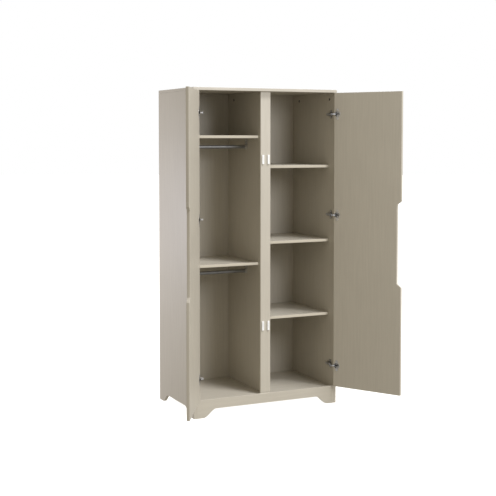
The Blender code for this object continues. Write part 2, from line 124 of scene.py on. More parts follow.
# Spans of the noise that finishes are made of
EVEN = (0.3, 0.7)
STREAKED = (0.32, 0.68)

# Sizes of the marks in the finishes, in metres
CLOUD_SIZE = 0.35
EDGE_WEAR_SIZE = 0.02
SCUFF_SIZE = 0.018
SCUFF_HEIGHT = 0.07
SHEEN_SIZE = 0.11
TOUCH_SIZE = 0.035
TOUCH_REACH = (0.32, 0.04)
FIBRE_SIZE = 0.0035
FIBRE_DEPTH = 0.25 * MM
BLOTCH_SIZE = 0.16
DRAWING_SIZE = 0.9 * MM
DRAWING_DEPTH = 0.02 * MM
DRAWING_STRETCH = 40.0
DULL_SPOT_SIZE = 0.03
STIPPLE_SIZE = 0.7 * MM
STIPPLE_DEPTH = 0.03 * MM
FLOW_SIZE = 12 * MM
# Reach of the painted shade in the hollows of the hinge arms
HOLLOW_SHADE_REACH = 6 * MM

# Shares of a colour kept by worn metal, by painted shade in hollows and round the hinge pins, by the hinge
# arms (darker as painted shade) and by the darker blued nails
WORN_SHARE = 0.78
PAINTED_SHADE_SHARE = 0.06
ARM_SHADE_SHARE = 0.55
NAIL_SHARE = 0.45
# Painted shade at the link's elbow, on the right hinges only
ELBOW_SHADE_SHARE = {"left": 0.0, "right": 0.55}

# Roughness of the fittings
RAIL_ROUGHNESS = 0.56
BRACKET_ROUGHNESS = 0.4
CATCH_ROUGHNESS = 0.3
NICKEL_ROUGHNESS = 0.3
ARM_ROUGHNESS = 0.34
LINK_ROUGHNESS = 0.5
CAM_ROUGHNESS = 0.5
NAIL_ROUGHNESS = 0.4

# Floor
FLOOR_STEPS = 96
FLOOR_SHADE = 0.985
FLOOR_BLOTCH_SIZE = 0.9
FLOOR_ROUGHNESS = 0.8

# Lights far off: turn from the front towards the right, rise above the floor and spread, in degrees
FAR_LIGHTS = {
    "key_light": (32.0, 56.0, 16.0),
    "right_light": (75.0, 35.0, 24.0),
    "rear_light": (160.0, 35.0, 40.0),
}
EDGE_LIGHT = (0.0, 20.0, 20.0)
FLOOR_LIGHT = (0.0, 90.0, 100.0)

# Round lights near the wardrobe: place and width
SIDE_LIGHT = ((-2.0, 1.5, 1.0), 1.2)
FRONT_LIGHT = ((1.0, -3.4, 2.3), 1.4)
LIGHT_TARGET = Vector((0.0, 0.0, 0.9))

# Camera, with its angles in degrees
CAMERA_PLACE = (-2.7366, -5.5576, 1.5522)
CAMERA_YAW = 25.483
CAMERA_PITCH = 2.998
CAMERA_SHIFT = -0.10685
SENSOR_WIDTH = 36.0

FRONT_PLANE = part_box("left_side_panel")[0].y
OUTER_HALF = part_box("right_side_panel")[1].x


class WardrobeLacquer(bpy.types.PropertyGroup):
    """Finish of the boards and doors."""

    colour: bpy.props.FloatVectorProperty(
        name="Lacquer", description="Colour of the boards and doors", subtype="COLOR",
        size=3, min=0.0, max=1.0, default=(0.50, 0.46, 0.38))
    streak: bpy.props.FloatVectorProperty(
        name="Streak", description="Colour in the hollows of the grain", subtype="COLOR",
        size=3, min=0.0, max=1.0, default=(0.445, 0.408, 0.336))
    rubbed: bpy.props.FloatVectorProperty(
        name="Rubbed edge", description="Colour that shows where an edge is rubbed", subtype="COLOR",
        size=3, min=0.0, max=1.0, default=(0.57, 0.53, 0.46))
    hardboard: bpy.props.FloatVectorProperty(
        name="Hardboard", description="Bare rear face of the back panels", subtype="COLOR",
        size=3, min=0.0, max=1.0, default=(0.25, 0.16, 0.09))
    grain_spacing: bpy.props.FloatProperty(
        name="Grain spacing", description="Width of one grain streak", unit="LENGTH",
        default=8 * MM, min=1 * MM, max=60 * MM)
    grain_depth: bpy.props.FloatProperty(
        name="Grain depth", description="Depth of the embossed grain", unit="LENGTH",
        default=0.12 * MM, min=0.0, max=2 * MM)
    roughness: bpy.props.FloatProperty(
        name="Roughness", description="0 is gloss, 1 is matt", subtype="FACTOR",
        default=0.42, min=0.0, max=1.0)


class WardrobeFittings(bpy.types.PropertyGroup):
    """Finish and size of the metal and plastic fittings."""

    nickel: bpy.props.FloatVectorProperty(
        name="Nickel", description="Colour of the hinges, pins and screws", subtype="COLOR",
        size=3, min=0.0, max=1.0, default=(0.74, 0.73, 0.71))
    # Lighter than the nickel, so that the hinge links show a painted highlight
    link: bpy.props.FloatVectorProperty(
        name="Hinge link", description="Colour of the hinge links", subtype="COLOR",
        size=3, min=0.0, max=1.0, default=(0.95, 0.94, 0.94))
    rail_steel: bpy.props.FloatVectorProperty(
        name="Rail steel", description="Colour of the hanging rails", subtype="COLOR",
        size=3, min=0.0, max=1.0, default=(0.36, 0.357, 0.343))
    bracket: bpy.props.FloatVectorProperty(
        name="Rail bracket", description="Colour of the rail end brackets", subtype="COLOR",
        size=3, min=0.0, max=1.0, default=(0.45, 0.43, 0.39))
    catch: bpy.props.FloatVectorProperty(
        name="Catch", description="Colour of the door catches", subtype="COLOR",
        size=3, min=0.0, max=1.0, default=(0.88, 0.88, 0.86))
    zinc: bpy.props.FloatVectorProperty(
        name="Zinc", description="Colour of the cam locks", subtype="COLOR",
        size=3, min=0.0, max=1.0, default=(0.16, 0.155, 0.15))
    cam_radius: bpy.props.FloatProperty(
        name="Cam radius", description="Radius of a cam lock", unit="LENGTH",
        default=7.5 * MM, min=4 * MM, max=15 * MM)
    screw_radius: bpy.props.FloatProperty(
        name="Screw radius", description="Radius of a screw head", unit="LENGTH",
        default=3.4 * MM, min=2 * MM, max=6 * MM)
    pin_radius: bpy.props.FloatProperty(
        name="Shelf pin radius", description="Radius of a shelf pin", unit="LENGTH",
        default=2.5 * MM, min=1.5 * MM, max=5 * MM)
    pin_reach: bpy.props.FloatProperty(
        name="Shelf pin reach", description="How far a shelf pin stands out of the wall", unit="LENGTH",
        default=9 * MM, min=4 * MM, max=20 * MM)


class WardrobeStudio(bpy.types.PropertyGroup):
    """Floor, light and camera."""

    floor: bpy.props.FloatVectorProperty(
        name="Floor", description="Colour of the floor", subtype="COLOR",
        size=3, min=0.0, max=1.0, default=(0.90, 0.90, 0.90))
    floor_radius: bpy.props.FloatProperty(
        name="Floor radius", description="Radius of the floor", unit="LENGTH",
        default=40.0, min=3.0, max=200.0)
    ambient: bpy.props.FloatVectorProperty(
        name="Ambient", description="Light from all round", subtype="COLOR",
        size=3, min=0.0, max=5.0, default=(0.532, 0.499, 0.435))
    reflection: bpy.props.FloatProperty(
        name="Reflection", description="Brightness of what shiny pieces mirror",
        default=0.35, min=0.0, max=5.0)
    key_light: bpy.props.FloatProperty(
        name="Key light", description="Strength of the light from the front right",
        default=2.48, min=0.0, max=50.0)
    front_power: bpy.props.FloatProperty(
        name="Front light", description="Power of the light at the front", unit="POWER",
        default=63.0, min=0.0, max=10000.0)
    right_light: bpy.props.FloatProperty(
        name="Right light", description="Strength of the light from the right",
        default=0.24, min=0.0, max=50.0)
    far_colour: bpy.props.FloatVectorProperty(
        name="Far light colour", description="Colour of the far lights and the front light", subtype="COLOR",
        size=3, min=0.0, max=1.0, default=(0.92, 0.94, 1.0))
    rear_light: bpy.props.FloatProperty(
        name="Rear light", description="Strength of the light from behind",
        default=1.6, min=0.0, max=50.0)
    side_power: bpy.props.FloatProperty(
        name="Side light", description="Power of the light at the left", unit="POWER",
        default=30.0, min=0.0, max=10000.0)
    side_colour: bpy.props.FloatVectorProperty(
        name="Side light colour", description="Colour of the light at the left", subtype="COLOR",
        size=3, min=0.0, max=1.0, default=(0.83, 0.84, 1.0))
    edge_light: bpy.props.FloatProperty(
        name="Edge light", description="Strength of the light on the shelf edges",
        default=2.65, min=0.0, max=50.0)
    floor_light: bpy.props.FloatProperty(
        name="Floor light", description="Strength of the light on the floor",
        default=4.3, min=0.0, max=50.0)
    lens: bpy.props.FloatProperty(
        name="Lens", description="Focal length on a 36 mm sensor, in millimetres",
        default=79.01, min=20.0, max=300.0)


class Finish:
    """Node tree of one finish."""

    def __init__(self, name):
        self.material = bpy.data.materials.new(name)
        self.material.use_nodes = True
        self.tree = self.material.node_tree
        self.shader = self.tree.nodes["Principled BSDF"]
        coords = self.tree.nodes.new("ShaderNodeTexCoord")
        self.place = coords.outputs["Object"]
        self.normal = coords.outputs["Normal"]

    def feed(self, socket, value):
        if isinstance(value, bpy.types.NodeSocket):
            self.tree.links.new(value, socket)
        else:
            socket.default_value = value

    def add(self, kind, inputs, **settings):
        made = self.tree.nodes.new(kind)
        for name, value in settings.items():
            setattr(made, name, value)
        for key, value in inputs.items():
            self.feed(made.inputs[key], value)
        return made

    def math(self, operation, *values):
        return self.add("ShaderNodeMath", dict(enumerate(values)), operation=operation).outputs[0]

    def vector(self, operation, *values):
        made = self.add("ShaderNodeVectorMath", dict(enumerate(values)), operation=operation)
        return made.outputs["Value" if operation == "DISTANCE" else "Vector"]

    def noise(self, place, size, detail=4.0, roughness=0.6):
        """Noise from 0 to 1 whose blotches are about this many metres across."""
        inputs = {"Vector": place, "Scale": 1.0 / size, "Detail": detail, "Roughness": roughness}
        return self.add("ShaderNodeTexNoise", inputs).outputs[0]

    def span(self, value, low, high, to_low=0.0, to_high=1.0):
        """Value taken from one span to another and held at its ends."""
        inputs = {"Value": value, "From Min": low, "From Max": high, "To Min": to_low, "To Max": to_high}
        return self.add("ShaderNodeMapRange", inputs, interpolation_type="SMOOTHSTEP").outputs[0]

    def mix(self, share, first, second):
        made = self.add("ShaderNodeMix", {}, data_type="RGBA")
        self.feed(made.inputs[0], share)
        self.feed(made.inputs[6], first if isinstance(first, bpy.types.NodeSocket) else (*first, 1.0))
        self.feed(made.inputs[7], second if isinstance(second, bpy.types.NodeSocket) else (*second, 1.0))
        return made.outputs[2]

    def bump(self, height, depth, strength=1.0):
        inputs = {"Height": height, "Distance": depth, "Strength": strength}
        self.feed(self.shader.inputs["Normal"], self.add("ShaderNodeBump", inputs).outputs["Normal"])

    def along(self, axis, stretch=GRAIN_STRETCH):
        """The place with one axis pressed together, so that noise draws out along it."""
        scale = [1.0, 1.0, 1.0]
        scale["XYZ".index(axis)] = 1.0 / stretch
        return self.vector("MULTIPLY", self.place, scale)

    def edges(self, turn=0.0):
        """1 on rounded edges and 0 on the flat faces of a square board, which may be turned about Z."""
        normal = self.normal
        if turn:
            inputs = {"Vector": normal, "Angle": turn}
            normal = self.add("ShaderNodeVectorRotate", inputs, rotation_type="Z_AXIS").outputs[0]
        parts = self.add("ShaderNodeSeparateXYZ", {0: self.vector("ABSOLUTE", normal)}).outputs
        flat = self.math("MAXIMUM", self.math("MAXIMUM", parts[0], parts[1]), parts[2])
        return self.span(flat, 0.99, 0.85)

    def hollows(self, reach):
        """1 in deep hollows and 0 on open faces."""
        made = self.add("ShaderNodeAmbientOcclusion", {"Distance": reach})
        return self.span(made.outputs["AO"], 0.75, 0.35)

    def shine(self, **values):
        """Sets what is the same all over the surface on the shader itself."""
        for name, value in values.items():
            self.shader.inputs[name.replace("_", " ").title().replace("Ior", "IOR")].default_value = value


def lacquer(name, look, grain, turn=0.0, grip=None):
    """Satin lacquer over a faintly embossed grain, rubbed along the edges and scuffed at the feet."""
    finish = Finish(name)
    drawn = finish.along(grain)
    streaks = finish.noise(drawn, look.grain_spacing, detail=6.0, roughness=0.68)
    pores = finish.noise(drawn, look.grain_spacing / 6, detail=3.0)
    clouds = finish.noise(finish.place, CLOUD_SIZE, detail=2.0)
    tone = finish.math("ADD", finish.span(streaks, *STREAKED, 0.0, 0.55),
                       finish.span(clouds, *EVEN, 0.0, 0.25))
    colour = finish.mix(tone, look.colour, look.streak)
    rubs = finish.noise(finish.place, EDGE_WEAR_SIZE)
    worn = finish.math("MULTIPLY", finish.edges(turn), finish.span(rubs, 0.4, 0.7, 0.1, 0.7))
    colour = finish.mix(worn, colour, look.rubbed)
    height = finish.add("ShaderNodeSeparateXYZ", {0: finish.place}).outputs[2]
    scuffs = finish.span(finish.noise(finish.place, SCUFF_SIZE), 0.5, 0.75, 0.0, 0.5)
    scuffed = finish.math("MULTIPLY", finish.span(height, SCUFF_HEIGHT, 0.0), scuffs)
    colour = finish.mix(scuffed, colour, look.streak)
    finish.feed(finish.shader.inputs["Base Color"], colour)
    sheen = finish.math("ADD", finish.span(streaks, *EVEN, look.roughness - 0.05, look.roughness + 0.06),
                        finish.span(finish.noise(finish.place, SHEEN_SIZE), 0.35, 0.7, 0.0, 0.06))
    if grip is not None:
        near = finish.span(finish.vector("DISTANCE", finish.place, grip), *TOUCH_REACH)
        prints = finish.span(finish.noise(finish.place, TOUCH_SIZE), 0.4, 0.65, 0.0, 0.1)
        sheen = finish.math("SUBTRACT", sheen, finish.math("MULTIPLY", near, prints))
    finish.feed(finish.shader.inputs["Roughness"], sheen)
    relief = finish.math("ADD", finish.math("MULTIPLY", streaks, 0.7), finish.math("MULTIPLY", pores, 0.3))
    finish.bump(relief, look.grain_depth)
    finish.shine(ior=1.5)
    return finish.material


def back_board_finish(look):
    """Thin back board: coated like the boards inside, bare pressed fibre at the rear."""
    finish = Finish("back_board_coating")
    rear = finish.span(finish.add("ShaderNodeSeparateXYZ", {0: finish.normal}).outputs[1], 0.4, 0.6)
    matted = finish.vector("MULTIPLY", finish.place, (1.0, 1.0, 0.55))
    fibres = finish.noise(matted, FIBRE_SIZE, detail=8.0, roughness=0.75)
    blotches = finish.noise(finish.place, BLOTCH_SIZE, detail=3.0)
    streaks = finish.noise(finish.along("Z"), look.grain_spacing, detail=5.0, roughness=0.65)
    bare_dark = [0.62 * c for c in look.hardboard]
    bare = finish.mix(finish.span(fibres, 0.35, 0.65), bare_dark, look.hardboard)
    bare_light = [1.35 * c for c in look.hardboard]
    bare = finish.mix(finish.span(blotches, 0.35, 0.8, 0.0, 0.2), bare, bare_light)
    coated = finish.mix(finish.span(streaks, *STREAKED, 0.0, 0.6), look.colour, look.streak)
    finish.feed(finish.shader.inputs["Base Color"], finish.mix(rear, coated, bare))
    satin = finish.span(streaks, *EVEN, 0.48, 0.56)
    matt = finish.math("MULTIPLY", rear, 0.82)
    finish.feed(finish.shader.inputs["Roughness"], finish.math("MAXIMUM", satin, matt))
    finish.bump(finish.math("MULTIPLY", fibres, finish.math("ADD", rear, 0.15)), FIBRE_DEPTH)
    return finish.material


def metal(name, colour, roughness, drawn_along=None, hollow=0.0, pins=()):
    """Plated metal with fine drawing lines and a few dull spots.

    Painted shade darkens hollows up to a reach, and what lies round pins, each given as point, reach and
    share.
    """
    finish = Finish(name)
    place = finish.along(drawn_along, DRAWING_STRETCH) if drawn_along else finish.place
    lines = finish.noise(place, DRAWING_SIZE, detail=4.0)
    dull = finish.noise(finish.place, DULL_SPOT_SIZE, detail=3.0)
    worn = [WORN_SHARE * c for c in colour]
    tone = finish.math("MULTIPLY", finish.span(lines, *EVEN), finish.span(dull, 0.3, 0.75, 0.2, 0.8))
    plated = finish.mix(tone, colour, worn)
    # Painted shade: hollows and the places round the pins turn nearly black
    painted_shades = [finish.hollows(hollow)] if hollow else []
    for point, reach, share in pins:
        apart = finish.vector("DISTANCE", finish.place, point)
        painted_shades.append(finish.span(apart, reach, 0.7 * reach, 0.0, share))
    for shade_mask in painted_shades:
        plated = finish.mix(shade_mask, plated, [PAINTED_SHADE_SHARE * c for c in colour])
    finish.feed(finish.shader.inputs["Base Color"], plated)
    gloss = finish.math("ADD", finish.span(lines, *EVEN, roughness - 0.05, roughness + 0.05),
                        finish.span(dull, 0.45, 0.8, 0.0, 0.12))
    finish.feed(finish.shader.inputs["Roughness"], gloss)
    finish.bump(lines, DRAWING_DEPTH)
    finish.shine(metallic=1.0)
    return finish.material


def moulded(name, colour, roughness):
    """Moulded plastic with a fine texture and faint flow marks."""
    finish = Finish(name)
    stipple = finish.noise(finish.place, STIPPLE_SIZE, detail=2.0)
    flow = finish.noise(finish.place, FLOW_SIZE, detail=3.0)
    shade = [0.9 * c for c in colour]
    tone = finish.mix(finish.span(flow, 0.35, 0.7, 0.0, 0.7), colour, shade)
    finish.feed(finish.shader.inputs["Base Color"], tone)
    gloss = finish.span(flow, *EVEN, roughness - 0.06, roughness + 0.08)
    finish.feed(finish.shader.inputs["Roughness"], gloss)
    finish.bump(stipple, STIPPLE_DEPTH)
    finish.shine(ior=1.49)
    return finish.material


def dress(names, finish):
    """Gives CAD nodes their finish."""
    for name in names:
        frame["nodes"][name].data.materials.clear()
        frame["nodes"][name].data.materials.append(finish)


def add_piece(name, bm, finish, body):
    """Puts a mesh in the scene as a named piece that rides on a body."""
    bmesh.ops.recalc_face_normals(bm, faces=bm.faces)
    mesh = bpy.data.meshes.new(name)
    bm.to_mesh(mesh)
    bm.free()
    mesh.shade_smooth()
    mesh.set_sharp_from_angle(angle=math.radians(SHARP_ANGLE))
    mesh.materials.append(finish)
    piece = bpy.data.objects.new(name, mesh)
    bpy.context.scene.collection.objects.link(piece)
    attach(piece, body)
    return piece


def facing(point, direction):
    """A place whose own Z points in a direction."""
    return Matrix.Translation(point) @ Vector(direction).to_track_quat("Z", "Y").to_matrix().to_4x4()


def skin(bm, first, second):
    """Faces between two rings of points, either of which may be a single point."""
    count = max(len(first), len(second))
    for i in range(count):
        j = (i + 1) % count
        corners = [first[i % len(first)], first[j % len(first)]]
        corners += [second[j % len(second)], second[i % len(second)]]
        bm.faces.new(list(dict.fromkeys(corners)))


def turned(bm, spot, profile, angles=None):
    """A turned shape about the spot's own Z from radius and height. Gives its rings of points."""
    angles = angles or [2 * math.pi * i / ROUND_STEPS for i in range(ROUND_STEPS)]
    rings = []
    for radius, height in profile:
        if radius == 0.0:
            rings.append([bm.verts.new(spot @ Vector((0.0, 0.0, height)))])
            continue
        ring = [Vector((radius * math.cos(a), radius * math.sin(a), height)) for a in angles]
        rings.append([bm.verts.new(spot @ point) for point in ring])
    for first, second in zip(rings, rings[1:]):
        skin(bm, first, second)
    return rings


def crossed_head(bm, spot, radius, head):
    """A round head with a chamfered rim and a sunk cross, standing on the spot."""
    height, deep, arm_share, half_share = head
    arm, half = radius * arm_share, radius * half_share
    quarter = [(arm, half), (half, half), (half, arm)]
    corners = [Matrix.Rotation(i * math.pi / 2, 2) @ Vector(p) for i in range(4) for p in quarter]
    turns = [math.atan2(c.y, c.x) % (2 * math.pi) for c in corners]
    angles = []
    for i, a in enumerate(turns):
        gap = (turns[(i + 1) % len(turns)] - a) % (2 * math.pi)
        angles += [a, a + gap / 2]
    chamfer = min(height * CHAMFER_OF_HEIGHT, radius * CHAMFER_OF_RADIUS)
    profile = [(0.0, 0.0), (radius, 0.0), (radius, height - chamfer), (radius - chamfer, height)]
    rim = turned(bm, spot, profile, angles)[-1]
    mouth = [bm.verts.new(spot @ Vector((c.x, c.y, height))) for c in corners]
    tapered = [CROSS_TAPER * c for c in corners]
    foot = [bm.verts.new(spot @ Vector((c.x, c.y, height - deep))) for c in tapered]
    for i in range(len(corners)):
        j = (i + 1) % len(corners)
        after = (2 * i + 2) % len(rim)
        bm.faces.new((mouth[i], mouth[j], rim[after], rim[2 * i + 1], rim[2 * i]))
    skin(bm, mouth, foot)
    bm.faces.new(foot)


def shut_to_open(label):
    """Takes a place on a shut door to where it is with the door open, as at rest."""
    swing = next(j for j in frame["joints"] if j["name"] == f"{label}_door_swing")
    pivot = Matrix.Translation(swing["pos_m"])
    turn = Matrix.Rotation(-math.radians(swing["range_deg"][1]), 4, Vector(swing["axis"]))
    return pivot @ turn @ pivot.inverted()


def middle_height(node):
    low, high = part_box(node)
    return (low.z + high.z) / 2


def edge_band(bm, edge, across, half):
    """A thin band on a board's edge, which is given as points, each with the way out of the board."""
    profile = [(-BAND_SUNK, -half)]
    for corner, start in ((BAND_ROUND - half, -90.0), (half - BAND_ROUND, 0.0)):
        for step in range(BAND_STEPS + 1):
            angle = math.radians(start + 90.0 * step / BAND_STEPS)
            rise = BAND_THICK - BAND_ROUND + BAND_ROUND * math.cos(angle)
            profile.append((rise, corner + BAND_ROUND * math.sin(angle)))
    profile.append((-BAND_SUNK, half))
    rings = []
    for point, out in edge:
        rings.append([bm.verts.new(point + rise * out + aside * across) for rise, aside in profile])
    for first, second in zip(rings, rings[1:]):
        skin(bm, first, second)
    bm.faces.new(rings[0])
    bm.faces.new(list(reversed(rings[-1])))


def free_edge(label, side):
    """Points up the middle of a shut door's free edge and its finger cut-out, each with the way out."""
    low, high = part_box(f"{label}_door")
    steps = [i / GRIP_STEPS for i in range(GRIP_STEPS + 1)]
    curve = [(GRIP_DEEP * t * t * (3.0 - 2.0 * t), GRIP_LONG / 2 - GRIP_CURVE * t) for t in steps]
    middle = (low.z + high.z) / 2
    path = [(0.0, low.z + DOOR_ROUND)]
    path += [(deep, middle - rise) for deep, rise in curve]
    path += [(deep, middle + rise) for deep, rise in reversed(curve)]
    path += [(0.0, high.z - DOOR_ROUND)]
    y = FRONT_PLANE + DOOR_THICK / 2
    points = [Vector((side * (DOOR_FROM_MIDDLE + deep), y, z)) for deep, z in path]
    edge = []
    for i, point in enumerate(points):
        near = [points[j + 1] - points[j] for j in (i - 1, i) if 0 <= j < len(points) - 1]
        along = sum((step.normalized() for step in near), Vector()).normalized()
        edge.append((point, Vector((-side * along.z, 0.0, side * along.x))))
    return edge


class WARDROBE_OT_boards(bpy.types.Operator):
    """Lacquers the carcass boards and the shelves"""

    bl_idname = "wardrobe.boards"
    bl_label = "Lacquer Boards"

    def execute(self, context):
        look = context.scene.wardrobe_lacquer
        dress(UPRIGHT_BOARDS, lacquer("lacquer_upright_grain", look, "Z"))
        dress(LEVEL_BOARDS + LEFT_SHELVES + RIGHT_SHELVES, lacquer("lacquer_level_grain", look, "X"))
        return {"FINISHED"}


class WARDROBE_OT_bands(bpy.types.Operator):
    """Glues the bands on the front edges of the shelves"""

    bl_idname = "wardrobe.bands"
    bl_label = "Band Shelf Edges"

    def execute(self, context):
        look = context.scene.wardrobe_lacquer
        bm = bmesh.new()
        for shelf in LEFT_SHELVES + RIGHT_SHELVES:
            low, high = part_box(shelf)
            ends = (low.x + BAND_SHORT, high.x - BAND_SHORT)
            edge = [(Vector((x, low.y, middle_height(shelf))), Vector((0, -1, 0))) for x in ends]
            edge_band(bm, edge, Vector((0, 0, 1)), (high.z - low.z) / 2 - BAND_SHORT)
        add_piece("shelf_edge_bands", bm, lacquer("shelf_edge_lacquer", look, "X"), "carcass")
        return {"FINISHED"}


class WARDROBE_OT_doors(bpy.types.Operator):
    """Lacquers the doors, a little shinier where fingers pull them, and bands their free edges"""

    bl_idname = "wardrobe.doors"
    bl_label = "Lacquer Doors"

    def execute(self, context):
        look = context.scene.wardrobe_lacquer
        for label, side in SIDES:
            name = f"{label}_door"
            low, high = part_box(name)
            free_x = low.x if side < 0 else high.x
            grip = (free_x, low.y, (low.z + high.z) / 2)
            turn = next(j for j in frame["joints"] if j["name"] == f"{label}_door_swing")["range_deg"][1]
            finish = lacquer(f"{label}_door_lacquer", look, "Z", -side * math.radians(turn), grip)
            dress([name], finish)
            opened = shut_to_open(label)
            edge = [(opened @ point, opened.to_3x3() @ out) for point, out in free_edge(label, side)]
            bm = bmesh.new()
            edge_band(bm, edge, opened.to_3x3() @ Vector((0, 1, 0)), DOOR_THICK / 2 - DOOR_ROUND)
            add_piece(f"{label}_door_edge_band", bm, finish, name)
        return {"FINISHED"}


class WARDROBE_OT_backs(bpy.types.Operator):
    """Coats the back panels and nails them to the partition"""

    bl_idname = "wardrobe.backs"
    bl_label = "Finish Back Panels"

    def execute(self, context):
        dress(["left_back_panel", "right_back_panel"], back_board_finish(context.scene.wardrobe_lacquer))
        nickel = context.scene.wardrobe_fittings.nickel
        low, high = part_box("left_back_panel")
        bm = bmesh.new()
        count = int((high.z - low.z) / NAIL_PITCH)
        for i in range(count):
            z = low.z + (high.z - low.z) * (i + 0.5) / count
            for _, side in SIDES:
                turned(bm, facing((side * NAIL_FROM_JOINT, high.y, z), (0, 1, 0)), NAIL_HEAD)
        finish = metal("blued_nail", [NAIL_SHARE * c for c in nickel], NAIL_ROUGHNESS)
        add_piece("back_panel_nails", bm, finish, "carcass")
        return {"FINISHED"}


class WARDROBE_OT_rails(bpy.types.Operator):
    """Finishes the hanging rails and screws their brackets to the walls"""

    bl_idname = "wardrobe.rails"
    bl_label = "Finish Hanging Rails"

    def execute(self, context):
        fittings = context.scene.wardrobe_fittings
        levels = ("upper", "lower")
        tube = metal("rail_tube_steel", fittings.rail_steel, RAIL_ROUGHNESS, "X")
        dress([f"{level}_hanging_rail" for level in levels], tube)
        brackets = [f"{level}_rail_bracket_{end}" for level in levels for end in ("outer", "inner")]
        dress(brackets, moulded("rail_bracket_plastic", fittings.bracket, BRACKET_ROUGHNESS))
        bm = bmesh.new()
        for name in brackets:
            low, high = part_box(name)
            rail = middle_height(name.split("_")[0] + "_hanging_rail")
            faces_right = name.endswith("outer")
            x = low.x + BRACKET_PLATE if faces_right else high.x - BRACKET_PLATE
            for rise in BRACKET_SCREW_RISE:
                spot = facing((x, (low.y + high.y) / 2, rail + rise), (1 if faces_right else -1, 0, 0))
                crossed_head(bm, spot, fittings.screw_radius, SCREW_HEAD)
        finish = metal("bracket_screw_steel", fittings.nickel, NICKEL_ROUGHNESS)
        add_piece("rail_bracket_screws", bm, finish, "carcass")
        return {"FINISHED"}


class WARDROBE_OT_catches(bpy.types.Operator):
    """Finishes the door catches on the stile"""

    bl_idname = "wardrobe.catches"
    bl_label = "Finish Catches"

    def execute(self, context):
        names = [f"{label}_{level}_catch" for label, _ in SIDES for level in ("upper", "lower")]
        dress(names, moulded("catch_plastic", context.scene.wardrobe_fittings.catch, CATCH_ROUGHNESS))
        return {"FINISHED"}


class WARDROBE_OT_hinges(bpy.types.Operator):
    """Plates the hinges and puts in their screws"""

    bl_idname = "wardrobe.hinges"
    bl_label = "Finish Hinges"

    def execute(self, context):
        fittings = context.scene.wardrobe_fittings
        # The hinge arms are a darker copy of the nickel: painted shade
        shaded_arm_colour = [ARM_SHADE_SHARE * c for c in fittings.nickel]
        shaded_arm_nickel = metal("hinge_arm_nickel", shaded_arm_colour, ARM_ROUGHNESS, hollow=HOLLOW_SHADE_REACH)
        for label, side in SIDES:
            for level in HINGE_LEVELS:
                hinge = f"{label}_{level}"
                low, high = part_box(hinge + "_inner_link")
                z = middle_height(hinge + "_inner_link")
                cup_pin = Vector((low.x if side < 0 else high.x, low.y, z))
                elbow = Vector((high.x if side < 0 else low.x, high.y, z))
                mouth = cup_pin.lerp(elbow, CUP_MOUTH)
                dress([hinge + "_hinge_arm"], shaded_arm_nickel)
                # Painted shade in the cup's mouth
                pins = [(mouth, CUP_SHADE_REACH, 1.0)]
                dress([hinge + "_hinge_cup"],
                      metal(hinge + "_cup_nickel", fittings.nickel, NICKEL_ROUGHNESS, pins=pins))
                # Painted shade at the link's ends, by the cup pin and by the elbow
                pins = [(cup_pin, LINK_SHADE_REACH, 1.0), (elbow, ELBOW_SHADE_REACH, ELBOW_SHADE_SHARE[label])]
                dress([hinge + "_inner_link", hinge + "_outer_link"],
                      metal(hinge + "_link_nickel", fittings.link, LINK_ROUGHNESS, pins=pins))
        screw_steel = metal("hinge_screw_steel", fittings.nickel, NICKEL_ROUGHNESS)
        radius = fittings.screw_radius
        for label, side in SIDES:
            arms, cups = bmesh.new(), bmesh.new()
            opened = shut_to_open(label)
            for level in HINGE_LEVELS:
                z = middle_height(f"{label}_{level}_hinge_cup")
                for way in (-1, 1):
                    x = side * (OUTER_HALF - CUP_FROM_SIDE)
                    ear = facing((x, FRONT_PLANE + FLANGE_FACE, z + way * EAR_SCREW_REACH), (0, 1, 0))
                    crossed_head(cups, opened @ ear, radius, SCREW_HEAD)
                    x = side * (OUTER_HALF - WING_FACE)
                    place = (x, FRONT_PLANE + WING_SCREW_BACK, z + way * WING_SCREW_REACH)
                    crossed_head(arms, facing(place, (-side, 0, 0)), radius, SCREW_HEAD)
                for back in ARM_SCREW_BACK:
                    x = side * (OUTER_HALF - ARM_FACE)
                    spot = facing((x, FRONT_PLANE + back, z), (-side, 0, 0))
                    crossed_head(arms, spot, radius, ARM_SCREW_HEAD)
            add_piece(f"{label}_hinge_arm_screws", arms, screw_steel, "carcass")
            add_piece(f"{label}_hinge_cup_screws", cups, screw_steel, f"{label}_door")
        return {"FINISHED"}


class WARDROBE_OT_cams(bpy.types.Operator):
    """Sets the cam locks that pull the carcass boards together"""

    bl_idname = "wardrobe.cams"
    bl_label = "Set Cam Locks"

    def execute(self, context):
        fittings = context.scene.wardrobe_fittings
        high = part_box("top_panel")[0].z - CAM_BELOW_TOP
        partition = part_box("centre_partition")
        walls = [(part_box("left_side_panel")[1].x, 1), (partition[0].x, -1), (partition[1].x, 1),
                 (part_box("right_side_panel")[0].x, -1)]
        floor_low, floor_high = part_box("bottom_panel")
        bm = bmesh.new()
        for back in CAM_FROM_FRONT:
            y = FRONT_PLANE + back
            spots = [facing((x, y, high), (way, 0, 0)) for x, way in walls]
            spots += [facing((x, y, floor_low.z), (0, 0, -1))
                      for x in (floor_low.x + CAM_FROM_END, floor_high.x - CAM_FROM_END)]
            for spot in spots:
                crossed_head(bm, spot, fittings.cam_radius, CAM_HEAD)
        add_piece("cam_locks", bm, metal("cam_zinc", fittings.zinc, CAM_ROUGHNESS), "carcass")
        return {"FINISHED"}


